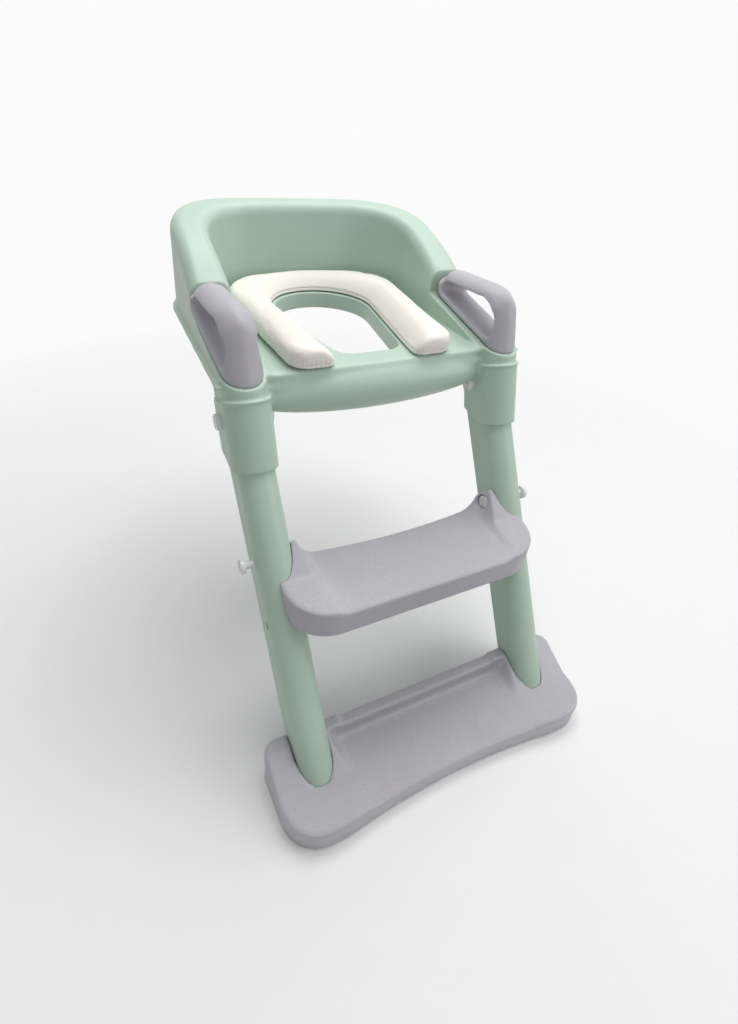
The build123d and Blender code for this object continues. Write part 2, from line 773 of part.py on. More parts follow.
with BuildPart() as base_step:
    extrude(base_plan(Plane.XY.offset(strip_height), 0), amount=base_end_top - strip_height)
    add(raised_ends(base_end_inside, base_end_slope, base_tread, base_end_top + gap,
                    base_front - overrun, base_rear - base_rear_wall_thickness),
        mode=Mode.SUBTRACT)
    base_sky = base_end_top + overrun
    add(below_line([(base_front - overrun, base_tread + base_end_front_rise),
                    (base_front, base_tread + base_end_front_rise),
                    (from_foot(0), base_tread + base_end_front_rise),
                    (base_rear - base_rear_wall_thickness, base_end_top),
                    (base_rear + overrun, base_end_top), (base_rear + overrun, base_sky),
                    (base_front - overrun, base_sky)], base_half_width + overrun),
        mode=Mode.SUBTRACT)
    with BuildSketch(Plane.XY.offset(base_rear_wall)):
        with Locations((0, from_foot(0))):
            Rectangle(2 * base_end_inside, 2 * base_rear_reach + overrun)
    extrude(amount=overrun, mode=Mode.SUBTRACT)
    add(base_hollow_form(), mode=Mode.SUBTRACT)
    add(leg_sockets(), mode=Mode.SUBTRACT)
    for side in sides.values():
        inner = leg_spread - leg_width / 2 - fit_gap - base_wall
        cross_hole(side * inner, foot_screw_y, foot_screw_z, screw_radius + pin_clearance,
                   4 * base_wall)
base_step.part.label = "base_step"

with BuildPart() as base_strip:
    with BuildSketch():
        add(base_plan(Plane.XY, -strip_margin))
        add(base_plan(Plane.XY, base_wall - strip_margin), mode=Mode.SUBTRACT)
    extrude(amount=strip_height)
base_strip.part.label = "base_strip"

with BuildPart() as foot_screws:
    for side in sides.values():
        inner = leg_spread - leg_width / 2 - fit_gap - base_wall
        bite = base_wall + fit_gap + leg_wall
        cross_hole(side * (inner + bite / 2), foot_screw_y, foot_screw_z, screw_radius, bite,
                   Mode.ADD)
        cross_hole(side * (inner - screw_head_thickness / 2), foot_screw_y, foot_screw_z,
                   screw_head_radius, screw_head_thickness, Mode.ADD)
foot_screws.part.label = "foot_screws"


# Bolts and their barrel nuts
def slotted_head(x, away, y, z):
    """A head whose seat is at x, facing away along X, with a slot across it."""
    middle = x + away * head_thickness / 2
    cross_hole(middle, y, z, head_radius, head_thickness, Mode.ADD)
    outer = edges().filter_by(GeomType.CIRCLE).sort_by(Axis.X)
    fillet(outer[-1] if away > 0 else outer[0], head_round)
    with BuildSketch(side_plane(x + away * head_thickness)) as slot:
        with Locations((y, z)):
            Rectangle(slot_width, 3 * head_radius)
    extrude(slot.sketch, amount=-away * slot_depth, mode=Mode.SUBTRACT)


def bolt(side, y, z, outer_x, inner_x):
    """A screw from the outside of a leg; outer_x is its head's seat."""
    with BuildPart() as screw:
        slotted_head(side * outer_x, side, y, z)
        reach = outer_x - inner_x + nut_bite
        cross_hole(side * (outer_x - reach / 2), y, z, bolt_radius, reach, Mode.ADD)
    return screw.part


def nut(side, y, z, inner_x):
    """A slotted cap on the bolt's inner end."""
    with BuildPart() as cap:
        slotted_head(side * inner_x, -side, y, z)
        cross_hole(side * (inner_x - nut_bite / 2), y, z, bolt_radius + pin_clearance,
                   nut_bite + pin_clearance)
    return cap.part


pivot_outer = leg_spread + collar_width / 2 + pin_clearance
pivot_inner = leg_spread - collar_width / 2 - pin_clearance
step_outer = leg_spread + leg_width / 2 + step_bolt_standout
step_inner = pocket_floor - pin_clearance
pieces = {
    "seat_shell": seat_shell.part, "seat_cushion": seat_cushion.part,
    "cushion_pegs": cushion_pegs.part, "handle_left": handle_left,
    "handle_right": handle_right, "handle_screws": handle_screws.part,
    "leg_left": leg_left, "leg_right": leg_right, "middle_step": middle_step.part,
    "base_step": base_step.part, "base_strip": base_strip.part,
    "foot_screws": foot_screws.part,
}
for name, side in sides.items():
    pieces["pivot_bolt_" + name] = bolt(side, pivot_y, pivot_z, pivot_outer, pivot_inner)
    pieces["pivot_nut_" + name] = nut(side, pivot_y, pivot_z, pivot_inner)
    pieces["step_bolt_" + name] = bolt(side, step_bolt_y, step_bolt_z, step_outer, step_inner)
    pieces["step_nut_" + name] = nut(side, step_bolt_y, step_bolt_z, step_inner)

for name, piece in pieces.items():
    piece.label = name
    export_step(piece, "parts/" + name + ".step")
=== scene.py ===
import bpy
import json
from math import cos, exp, hypot, pi, radians, sin
from mathutils import Matrix, Vector
from mathutils.geometry import convex_hull_2d

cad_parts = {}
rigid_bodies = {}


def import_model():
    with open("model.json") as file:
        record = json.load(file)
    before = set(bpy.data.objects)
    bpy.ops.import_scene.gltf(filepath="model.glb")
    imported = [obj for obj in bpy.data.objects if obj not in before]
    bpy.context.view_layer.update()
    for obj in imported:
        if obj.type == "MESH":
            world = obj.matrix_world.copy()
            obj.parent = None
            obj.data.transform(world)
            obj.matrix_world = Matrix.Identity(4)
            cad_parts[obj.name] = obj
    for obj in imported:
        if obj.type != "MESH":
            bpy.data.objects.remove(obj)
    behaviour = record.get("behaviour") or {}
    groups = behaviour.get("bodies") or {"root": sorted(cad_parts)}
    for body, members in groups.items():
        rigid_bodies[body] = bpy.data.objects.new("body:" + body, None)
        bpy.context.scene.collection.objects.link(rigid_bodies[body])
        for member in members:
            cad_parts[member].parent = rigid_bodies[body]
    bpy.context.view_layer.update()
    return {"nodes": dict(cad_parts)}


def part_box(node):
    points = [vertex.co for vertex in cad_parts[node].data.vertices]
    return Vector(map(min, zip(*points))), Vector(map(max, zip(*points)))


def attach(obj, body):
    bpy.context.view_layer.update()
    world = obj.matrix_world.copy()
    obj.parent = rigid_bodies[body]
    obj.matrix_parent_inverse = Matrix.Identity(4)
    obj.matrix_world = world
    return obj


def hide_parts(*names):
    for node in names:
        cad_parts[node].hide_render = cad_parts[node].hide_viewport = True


# Potty training seat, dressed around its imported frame. Metres, floor at z = 0.
for leftover in list(bpy.data.objects):
    bpy.data.objects.remove(leftover)
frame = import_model()
print("frame loaded")

# Places called "back" are measured backwards from the foot of the legs
outline = {"frontReach": 0.049 + 0.0012, "rearReach": 0.512}
legFootY = (outline["frontReach"] - outline["rearReach"]) / 2

# Camera

view = {
    "place": (-0.2762, -0.4716, 0.6183),
    "right": (0.8861, -0.4543, 0.0914),
    "up": (0.2219, 0.5893, 0.7768),
    "focalPixels": 550,      # of a picture 738 wide and 1024 high
    "longSidePixels": 1024,
    "sensor": 36,
    "clipStart": 0.02,
}

right = Vector(view["right"]).normalized()
up = Vector(view["up"]).normalized()
toViewer = right.cross(up).normalized()
up = toViewer.cross(right)
cameraData = bpy.data.cameras.new("camera")
cameraData.sensor_width = view["sensor"]
cameraData.lens = view["sensor"] * view["focalPixels"] / view["longSidePixels"]
cameraData.clip_start = view["clipStart"]
camera = bpy.data.objects.new("camera", cameraData)
bpy.context.scene.collection.objects.link(camera)
turn = Matrix((right, up, toViewer)).transposed().to_4x4()
camera.matrix_world = Matrix.Translation(view["place"]) @ turn
bpy.context.scene.camera = camera
bpy.context.scene.view_settings.view_transform = "Standard"
print("camera placed")

# Working on a mesh

meshCare = {"mergeWithin": 0.00001, "flatDegrees": 0.3, "smoothFactor": 0.5, "edgeDegrees": 35}


def selectNone():
    bpy.ops.object.select_all(action="DESELECT")


def pick(obj):
    selectNone()
    obj.select_set(True)
    bpy.context.view_layer.objects.active = obj


def applyAll(obj):
    pick(obj)
    for modifier in list(obj.modifiers):
        bpy.ops.object.modifier_apply(modifier=modifier.name)


def copyOfNode(node, name):
    # a free copy with its flat faces merged, so that few long thin triangles are left
    piece = frame["nodes"][node].copy()
    piece.data = piece.data.copy()
    piece.parent = None
    for key in list(piece.keys()):
        del piece[key]
    piece.name = name
    piece.data.name = name
    piece.data.materials.clear()
    bpy.context.scene.collection.objects.link(piece)
    pick(piece)
    bpy.ops.mesh.customdata_custom_splitnormals_clear()
    bpy.ops.object.mode_set(mode="EDIT")
    bpy.ops.mesh.select_all(action="SELECT")
    bpy.ops.mesh.remove_doubles(threshold=meshCare["mergeWithin"])
    bpy.ops.mesh.dissolve_limited(angle_limit=radians(meshCare["flatDegrees"]))
    bpy.ops.mesh.quads_convert_to_tris(quad_method="BEAUTY", ngon_method="BEAUTY")
    bpy.ops.object.mode_set(mode="OBJECT")
    return piece


def remeshed(piece, voxel):
    pick(piece)
    piece.data.remesh_voxel_size = voxel
    piece.data.remesh_voxel_adaptivity = 0
    piece.data.use_remesh_fix_poles = False
    bpy.ops.object.voxel_remesh()
    return piece


def between(value, low, high):
    # 0 at low and 1 at high, with a soft start and end
    share = min(1, max(0, (value - low) / (high - low)))
    return share * share * (3 - 2 * share)


def smoothed(piece, passes, weightAt=None):
    # weightAt gives each place's share of the smoothing from its position and normal
    smooth = piece.modifiers.new("soften", "SMOOTH")
    smooth.factor = meshCare["smoothFactor"]
    smooth.iterations = passes
    if weightAt:
        group = piece.vertex_groups.new(name="soft")
        for v in piece.data.vertices:
            group.add([v.index], weightAt(v.co, v.normal), "REPLACE")
        smooth.vertex_group = "soft"
    applyAll(piece)
    piece.vertex_groups.clear()


def softened(node, name, look, extras=(), shape=None, weightAt=None):
    # a rigid piece whose moulded edges are rounded off
    piece = copyOfNode(node, name)
    if extras:
        pick(piece)
        for extra in extras:
            extra.select_set(True)
        bpy.ops.object.join()
    remeshed(piece, look["voxel"])
    if shape:
        shape(piece)
    smoothed(piece, look["passes"])
    if weightAt:
        smoothed(piece, look["deepPasses"], weightAt)
    if look.get("keep", 1) < 1:
        thin = piece.modifiers.new("thin", "DECIMATE")
        thin.ratio = look["keep"]
        applyAll(piece)
    pick(piece)
    bpy.ops.object.shade_smooth()
    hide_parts(node)
    print(name, "has", len(piece.data.polygons), "faces")
    return piece


def finished(piece, material, body):
    piece.data.materials.clear()
    piece.data.materials.append(material)
    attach(piece, body)


# Building a material

def newMaterial(name):
    material = bpy.data.materials.new(name)
    material.use_nodes = True
    nodes = material.node_tree.nodes
    shader = nodes["Principled BSDF"]
    return material, nodes, material.node_tree.links, shader


def noiseOf(nodes, links, source, scale, detail=2.0, rough=0.5):
    noise = nodes.new("ShaderNodeTexNoise")
    noise.inputs["Scale"].default_value = scale
    noise.inputs["Detail"].default_value = detail
    noise.inputs["Roughness"].default_value = rough
    links.new(source, noise.inputs["Vector"])
    return noise.outputs["Fac"]


def cellsOf(nodes, links, source, scale, feature="F1"):
    cells = nodes.new("ShaderNodeTexVoronoi")
    cells.feature = feature
    cells.inputs["Scale"].default_value = scale
    links.new(source, cells.inputs["Vector"])
    return cells.outputs["Distance"]


def rangeOf(nodes, links, source, low, high, fromLow=0.3, fromHigh=0.7):
    remap = nodes.new("ShaderNodeMapRange")
    remap.inputs["From Min"].default_value = fromLow
    remap.inputs["From Max"].default_value = fromHigh
    remap.inputs["To Min"].default_value = low
    remap.inputs["To Max"].default_value = high
    links.new(source, remap.inputs["Value"])
    return remap.outputs["Result"]


def mixOf(nodes, links, factor, first, second):
    mix = nodes.new("ShaderNodeMix")
    mix.data_type = "RGBA"
    links.new(factor, mix.inputs["Factor"])
    for socket, colour in (("A", first), ("B", second)):
        place = [s for s in mix.inputs if s.name == socket and s.type == "RGBA"][0]
        if isinstance(colour, tuple):
            place.default_value = (*colour, 1)
        else:
            links.new(colour, place)
    return [s for s in mix.outputs if s.type == "RGBA"][0]


def bumpOf(nodes, links, height, strength, distance, under=None):
    bump = nodes.new("ShaderNodeBump")
    bump.inputs["Strength"].default_value = strength
    bump.inputs["Distance"].default_value = distance
    links.new(height, bump.inputs["Height"])
    if under is not None:
        links.new(under, bump.inputs["Normal"])
    return bump.outputs["Normal"]


def mathOf(nodes, links, operation, first, second):
    node = nodes.new("ShaderNodeMath")
    node.operation = operation
    for place, value in enumerate((first, second)):
        links.new(value, node.inputs[place])
    return node.outputs[0]


def scaled(colour, share):
    return tuple(channel * share for channel in colour)


# Moulded plastics and the rubber strip

mouldLook = {
    "cloudDetail": 3, "grainDetail": 2, "grainRough": 0.6, "speckShade": 0.55,
    "glossScale": 2.7,       # times the clouds' scale
    "glossDetail": 4, "rippleDetail": 1, "rippleStrength": 0.25, "ior": 1.49,
}


def mouldedPlastic(name, look):
    # satin plastic: cloudy colour, uneven gloss and a fine mould texture
    material, nodes, links, shader = newMaterial(name)
    place = nodes.new("ShaderNodeTexCoord").outputs["Object"]
    cloud = noiseOf(nodes, links, place, look["cloudScale"], mouldLook["cloudDetail"])
    speck = noiseOf(nodes, links, place, look["grainScale"], mouldLook["grainDetail"],
                    mouldLook["grainRough"])
    colour = mixOf(nodes, links, rangeOf(nodes, links, cloud, 0, 1),
                   scaled(look["colour"], 1 - look["cloud"]),
                   scaled(look["colour"], 1 + look["cloud"]))
    colour = mixOf(nodes, links, rangeOf(nodes, links, speck, 0, look["speckle"]), colour,
                   scaled(look["colour"], mouldLook["speckShade"]))
    links.new(colour, shader.inputs["Base Color"])
    gloss = noiseOf(nodes, links, place, look["cloudScale"] * mouldLook["glossScale"],
                    mouldLook["glossDetail"])
    links.new(rangeOf(nodes, links, gloss, *look["roughness"]), shader.inputs["Roughness"])
    ripple = noiseOf(nodes, links, place, look["rippleScale"], mouldLook["rippleDetail"])
    normal = bumpOf(nodes, links, ripple, mouldLook["rippleStrength"], look["ripple"])
    normal = bumpOf(nodes, links, speck, look["grain"], look["grainDepth"], normal)
    links.new(normal, shader.inputs["Normal"])
    shader.inputs["IOR"].default_value = mouldLook["ior"]
    shader.inputs["Specular IOR Level"].default_value = look["shine"]
    return material, nodes, links, shader


sagePlasticLook = {
    "colour": (0.485, 0.625, 0.525), "cloud": 0.03, "cloudScale": 9, "speckle": 0.04,
    "grainScale": 1500, "grain": 0.18, "grainDepth": 0.0003, "rippleScale": 26,
    "ripple": 0.0012, "roughness": (0.36, 0.46), "shine": 0.5,
}
gripPlasticLook = {
    "colour": (0.50, 0.485, 0.53), "cloud": 0.035, "cloudScale": 12, "speckle": 0.10,
    "grainScale": 1300, "grain": 0.35, "grainDepth": 0.0004, "rippleScale": 30,
    "ripple": 0.0008, "roughness": (0.42, 0.54), "shine": 0.45,
}
boltPlasticLook = {
    "colour": (0.84, 0.84, 0.84), "cloud": 0.03, "cloudScale": 70, "speckle": 0.05,
    "grainScale": 2200, "grain": 0.1, "grainDepth": 0.0002, "rippleScale": 120,
    "ripple": 0.0003, "roughness": (0.22, 0.32), "shine": 0.5,
}
stripRubberLook = {
    "colour": (0.78, 0.80, 0.79), "cloud": 0.04, "cloudScale": 25, "speckle": 0.12,
    "grainScale": 1800, "grain": 0.35, "grainDepth": 0.0003, "rippleScale": 60,
    "ripple": 0.0004, "roughness": (0.6, 0.75), "shine": 0.35,
}
pegPlasticLook = {
    "colour": (0.76, 0.76, 0.71), "cloud": 0.04, "cloudScale": 60, "speckle": 0.06,
    "grainScale": 1800, "grain": 0.15, "grainDepth": 0.0002, "rippleScale": 90,
    "ripple": 0.0003, "roughness": (0.4, 0.5), "shine": 0.45,
}
sagePlastic = mouldedPlastic("sagePlastic", sagePlasticLook)[0]
gripPlastic = mouldedPlastic("gripPlastic", gripPlasticLook)[0]
boltPlastic = mouldedPlastic("boltPlastic", boltPlasticLook)[0]
stripRubber = mouldedPlastic("stripRubber", stripRubberLook)[0]
pegPlastic = mouldedPlastic("pegPlastic", pegPlasticLook)[0]

# Pebbled treads of the two steps

# the dark amount, its range and darkShade set the painted shade along the pebble edges
treadLook = {
    "middleHeight": 0.211, "baseHeight": 0.028, "under": 0.0015, "faceUp": (0.93, 0.985),
    "pebbleScale": 620, "pebble": 0.5, "pebbleDepth": 0.0006,
    "dark": 0.16, "pebbleShadeRange": (0.2, 0.7), "darkShade": 0.4,
}


def treadPlastic(name, treadHeight):
    # the grip plastic with a pebbled tread where the step faces straight up, and painted shade
    # along the pebbles' edges there
    material, nodes, links, shader = mouldedPlastic(name, gripPlasticLook)
    coordinates = nodes.new("ShaderNodeTexCoord")
    place = coordinates.outputs["Object"]
    normalParts = nodes.new("ShaderNodeSeparateXYZ")
    links.new(coordinates.outputs["Normal"], normalParts.inputs[0])
    facesUp = rangeOf(nodes, links, normalParts.outputs["Z"], 0, 1, *treadLook["faceUp"])
    placeParts = nodes.new("ShaderNodeSeparateXYZ")
    links.new(place, placeParts.inputs[0])
    near = rangeOf(nodes, links, placeParts.outputs["Z"], 0, 1,
                   treadHeight - 2 * treadLook["under"], treadHeight - treadLook["under"])
    mask = mathOf(nodes, links, "MULTIPLY", facesUp, near)
    pebbles = cellsOf(nodes, links, place, treadLook["pebbleScale"])
    relief = mathOf(nodes, links, "MULTIPLY", pebbles, mask)
    under = shader.inputs["Normal"].links[0].from_socket
    normal = bumpOf(nodes, links, relief, treadLook["pebble"], treadLook["pebbleDepth"], under)
    links.new(normal, shader.inputs["Normal"])
    # painted shade: the tread colour darkens along the pebble cells' edges, in place of the
    # shade of their relief
    pebbleShade = rangeOf(nodes, links, pebbles, 0, treadLook["dark"], *treadLook["pebbleShadeRange"])
    shade = mathOf(nodes, links, "MULTIPLY", pebbleShade, mask)
    plain = shader.inputs["Base Color"].links[0].from_socket
    dark = scaled(gripPlasticLook["colour"], treadLook["darkShade"])
    links.new(mixOf(nodes, links, shade, plain, dark), shader.inputs["Base Color"])
    return material


# Cushion cover

coverLook = {
    "colour": (0.95, 0.905, 0.84), "cloud": 0.02, "cloudScale": 14, "cloudDetail": 3,
    "grainScale": 760, "grain": 0.22, "grainDepth": 0.0003,
    "poreColour": (0.72, 0.62, 0.53), "pore": 0.12, "poreRange": (0.3, 0.8),
    "creaseScale": 55, "creaseDetail": 4, "creaseRough": 0.6, "crease": 0.12,
    "creaseDepth": 0.0012, "roughness": (0.44, 0.56), "glossScale": 40, "glossDetail": 3,
    "sheen": 0.08, "sheenRough": 0.4, "shine": 0.4,
}


def cushionCover(name, look):
    # smooth coated fabric with a fine leather grain and slight creasing
    material, nodes, links, shader = newMaterial(name)
    place = nodes.new("ShaderNodeTexCoord").outputs["Object"]
    cloud = noiseOf(nodes, links, place, look["cloudScale"], look["cloudDetail"])
    grain = cellsOf(nodes, links, place, look["grainScale"], "SMOOTH_F1")
    colour = mixOf(nodes, links, rangeOf(nodes, links, cloud, 0, 1),
                   scaled(look["colour"], 1 - look["cloud"]), look["colour"])
    pores = rangeOf(nodes, links, grain, 0, look["pore"], *look["poreRange"])
    colour = mixOf(nodes, links, pores, colour, look["poreColour"])
    links.new(colour, shader.inputs["Base Color"])
    gloss = noiseOf(nodes, links, place, look["glossScale"], look["glossDetail"])
    links.new(rangeOf(nodes, links, gloss, *look["roughness"]), shader.inputs["Roughness"])
    crease = noiseOf(nodes, links, place, look["creaseScale"], look["creaseDetail"],
                     look["creaseRough"])
    normal = bumpOf(nodes, links, crease, look["crease"], look["creaseDepth"])
    normal = bumpOf(nodes, links, grain, look["grain"], look["grainDepth"], normal)
    links.new(normal, shader.inputs["Normal"])
    shader.inputs["Sheen Weight"].default_value = look["sheen"]
    shader.inputs["Sheen Roughness"].default_value = look["sheenRough"]
    shader.inputs["Specular IOR Level"].default_value = look["shine"]
    return material


# Screws

steelLook = {
    "dark": (0.52, 0.52, 0.54), "light": (0.68, 0.68, 0.69), "cloudScale": 160,
    "cloudDetail": 4, "roughness": (0.25, 0.42), "brushScale": 2500, "brushDetail": 2,
    "brush": 0.15, "brushDepth": 0.0001,
}


def zincSteel(name, look):
    # bright plated steel with a brushed, slightly cloudy skin
    material, nodes, links, shader = newMaterial(name)
    place = nodes.new("ShaderNodeTexCoord").outputs["Object"]
    cloud = noiseOf(nodes, links, place, look["cloudScale"], look["cloudDetail"])
    colour = mixOf(nodes, links, rangeOf(nodes, links, cloud, 0, 1), look["dark"], look["light"])
    links.new(colour, shader.inputs["Base Color"])
    links.new(rangeOf(nodes, links, cloud, *look["roughness"]), shader.inputs["Roughness"])
    brush = noiseOf(nodes, links, place, look["brushScale"], look["brushDetail"])
    links.new(bumpOf(nodes, links, brush, look["brush"], look["brushDepth"]),
              shader.inputs["Normal"])
    shader.inputs["Metallic"].default_value = 1
    return material


coverFabric = cushionCover("coverFabric", coverLook)
screwSteel = zincSteel("screwSteel", steelLook)
middleTread = treadPlastic("middleTread", treadLook["middleHeight"])
baseTread = treadPlastic("baseTread", treadLook["baseHeight"])
print("materials made")

# Pieces that keep their CAD shape

nodeFinish = {
    "leg_left": sagePlastic, "leg_right": sagePlastic,
    "cushion_pegs": pegPlastic, "base_strip": stripRubber,
    "handle_screws": screwSteel, "foot_screws": screwSteel,
    "pivot_bolt_left": boltPlastic, "pivot_bolt_right": boltPlastic,
    "pivot_nut_left": boltPlastic, "pivot_nut_right": boltPlastic,
    "step_bolt_left": boltPlastic, "step_bolt_right": boltPlastic,
    "step_nut_left": boltPlastic, "step_nut_right": boltPlastic,
}
for node, material in nodeFinish.items():
    obj = frame["nodes"][node]
    obj.data.materials.clear()
    obj.data.materials.append(material)
    pick(obj)
    bpy.ops.object.shade_smooth_by_angle(angle=radians(meshCare["edgeDegrees"]))
print("plain pieces finished")

# Seat shell: the bar over the front is swelled out so that it runs into the deck

shellLook = {
    "voxel": 0.0015, "passes": 4, "deepPasses": 60, "keep": 0.4,
    "blendBack": 0.240, "blendLow": 0.366, "blendRun": 0.012,
    "blendHalf": 0.128, "blendSide": 0.014,
    "segments": 96, "rings": 48, "barEnd": 0.1262, "holeFront": 0.241, "holeHalf": 0.055,
    "bar": {"half": (0.150, 0.031, 0.0262), "back": 0.231, "height": 0.3635},
    "lip": {"half": (0.260, 0.027, 0.0125), "back": 0.238, "height": 0.3768},
}
beadLook = {
    "radius": 0.0016, "leanDegrees": 18, "side": 0.147, "back": 0.1713, "height": 0.315,
    "up": 0.0668, "half": 0.0233, "run": 0.046, "steps": 28,
}


def swelledBar(name, look):
    bpy.ops.mesh.primitive_uv_sphere_add(
        segments=shellLook["segments"], ring_count=shellLook["rings"], radius=1,
        rotation=(0, pi / 2, 0), location=(0, legFootY + look["back"], look["height"]))
    bar = bpy.context.object
    bar.name = name
    bpy.ops.object.transform_apply(location=False, rotation=True, scale=False)
    bar.scale = look["half"]
    bpy.ops.object.transform_apply(location=True, rotation=True, scale=True)
    bpy.ops.object.mode_set(mode="EDIT")
    for side in (-1, 1):
        bpy.ops.mesh.select_all(action="SELECT")
        bpy.ops.mesh.bisect(plane_co=(side * shellLook["barEnd"], 0, 0),
                            plane_no=(side, 0, 0), use_fill=True, clear_outer=True)
    bpy.ops.object.mode_set(mode="OBJECT")
    for v in bar.data.vertices:
        if abs(v.co.x) < shellLook["holeHalf"]:
            v.co.y = min(v.co.y, legFootY + shellLook["holeFront"])
    return bar


def collarBead(side, look):
    # a fine raised line round the top of a collar, open at its rear
    lean = radians(look["leanDegrees"])
    up = Vector((0, sin(lean), cos(lean)))
    back = Vector((0, cos(lean), -sin(lean)))
    start = Vector((side * look["side"], legFootY + look["back"], look["height"]))
    start += up * look["up"]
    end = start + back * look["run"]
    half = look["half"]
    places = [end + Vector((half, 0, 0))]
    for step in range(look["steps"] + 1):
        angle = pi * step / look["steps"]
        across = Vector((half * cos(angle), 0, 0))
        places.append(start + back * half * (1 - sin(angle)) + across)
    places.append(end - Vector((half, 0, 0)))
    line = bpy.data.curves.new("collarBead", "CURVE")
    line.dimensions = "3D"
    line.bevel_depth = look["radius"]
    line.use_fill_caps = True
    spline = line.splines.new("POLY")
    spline.points.add(len(places) - 1)
    for point, place in zip(spline.points, places):
        point.co = (*place, 1)
    bead = bpy.data.objects.new("collarBead", line)
    bpy.context.scene.collection.objects.link(bead)
    pick(bead)
    bpy.ops.object.convert(target="MESH")
    return bpy.context.object


def barBlend(place, normal):
    # where the deck's front edge and the bar melt together
    look = shellLook
    share = between(look["blendBack"] - (place.y - legFootY), 0, look["blendRun"])
    share *= between(place.z, look["blendLow"] - look["blendRun"], look["blendLow"])
    return share * between(look["blendHalf"] - abs(place.x), 0, look["blendSide"])


shellExtras = [swelledBar("swelledBar", shellLook["bar"]),
               swelledBar("deckLip", shellLook["lip"]),
               collarBead(-1, beadLook), collarBead(1, beadLook)]
shell = softened("seat_shell", "seatShell", shellLook, shellExtras, weightAt=barBlend)
finished(shell, sagePlastic, "seat")

# Handles: the crown is drawn in to a soft round bar

handleLook = {
    "voxel": 0.0012, "passes": 26, "deepPasses": 150,
    "topRound": 0.0175, "topFacing": (0.08, 0.7), "rearRound": 0.009, "underFacing": -0.7,
    "shortSide": 0.0002,
    "archLow": 0.424, "archHigh": 0.440, "archFront": 0.002, "archRear": 0.024,
    "archFacing": (-0.25, 0.15),
}


def crownSides(places):
    # the side view's outline as straight sides, each a point and the way out, without its foot
    ring = [Vector(places[i]) for i in convex_hull_2d(places)]
    middle = sum(ring, Vector((0, 0))) / len(ring)
    sides = []
    for first, second in zip(ring, ring[1:] + ring[:1]):
        along = second - first
        if along.length < handleLook["shortSide"]:
            continue
        outward = Vector((along.y, -along.x)).normalized()
        if outward.dot(first - middle) < 0:
            outward = -outward
        if outward.y > handleLook["underFacing"]:
            sides.append((first, outward))
    return sides


def roundedCrown(piece):
    # the nearer a place lies to the outline, the narrower the handle is there
    sides = crownSides([(v.co.y, v.co.z) for v in piece.data.vertices])
    low = min(v.co.x for v in piece.data.vertices)
    high = max(v.co.x for v in piece.data.vertices)
    centre, half = (low + high) / 2, (high - low) / 2
    for v in piece.data.vertices:
        place = Vector((v.co.y, v.co.z))
        depth, outward = min(((first - place).dot(out), tuple(out)) for first, out in sides)
        radius = (handleLook["topRound"] * between(outward[1], *handleLook["topFacing"])
                  + handleLook["rearRound"] * max(0, outward[0]))
        depth = max(depth, 0)
        if depth < radius:
            width = half - radius + (radius ** 2 - (radius - depth) ** 2) ** 0.5
            v.co.x = centre + (v.co.x - centre) * width / half


def archSkin(place, normal):
    # the outer skin of the crown's front corner, not the inside of the loop
    return (between(place.z, handleLook["archLow"], handleLook["archHigh"])
            * (1 - between(place.y, handleLook["archFront"], handleLook["archRear"]))
            * between(max(normal.z, -normal.y), *handleLook["archFacing"]))


for node, name in (("handle_left", "handleLeft"), ("handle_right", "handleRight")):
    handle = softened(node, name, handleLook, shape=roundedCrown, weightAt=archSkin)
    finished(handle, gripPlastic, "seat")

# Steps: their upper edges and ramps are rounded deeper than their ribs

middleStepLook = {
    "voxel": 0.0016, "passes": 4, "deepPasses": 40, "skin": 0.0045,
    "tread": treadLook["middleHeight"], "top": 0.245, "inside": 0.098, "slope": 0.015,
    "reach": 0.0245, "still": 0.1235,
}
baseStepLook = {
    "voxel": 0.0018, "passes": 4, "deepPasses": 32, "skin": 0.0045,
    "tread": treadLook["baseHeight"], "top": 0.051, "inside": 0.106, "slope": 0.014,
    "reach": 0.019, "still": 0.1275,
}
stepShared = {
    "rampPower": 0.45, "rampMargin": 0.004,
    "faceUp": (0.0, 0.3), "wallFade": 0.002, "wallFacing": (-0.5, -0.1), "foot": (0.002, 0.008),
    "coveLow": (-0.002, -0.001), "coveTop": (0.010, 0.020), "coveFacing": (-0.2, 0.1),
    "coveRamp": (0.012, 0.006), "coveSide": 0.006, "coveWall": (0.032, 0.026),
}


def rampShape(look):
    def shape(piece):
        # each ramp sweeps up in a hollow curve, and what lies behind it closes up
        still = look["still"]
        for v in piece.data.vertices:
            across = abs(v.co.x)
            rise = (v.co.z - look["tread"]) / (look["top"] - look["tread"])
            if rise <= 0 or across > still:
                continue
            rise = min(rise, 1)
            before = look["inside"] + look["slope"] * rise
            after = look["inside"] + look["reach"] * rise ** stepShared["rampPower"]
            if across > before - stepShared["rampMargin"]:
                share = (still - across) / (still - before)
                side = 1 if v.co.x > 0 else -1
                v.co.x = (still - share * (still - after)) * side
    return shape


def skinOf(node, look):
    low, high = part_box(node)

    def weightAt(place, normal):
        # all that faces up, and the outer walls down to just over their foot
        faceUp = between(normal.z, *stepShared["faceUp"])
        nearEdge = min(place.x - low.x, high.x - place.x, place.y - low.y)
        wall = between(look["skin"] - nearEdge, 0, stepShared["wallFade"])
        wall *= between(normal.z, *stepShared["wallFacing"])
        return max(faceUp, wall) * between(place.z - low.z, *stepShared["foot"])
    return weightAt


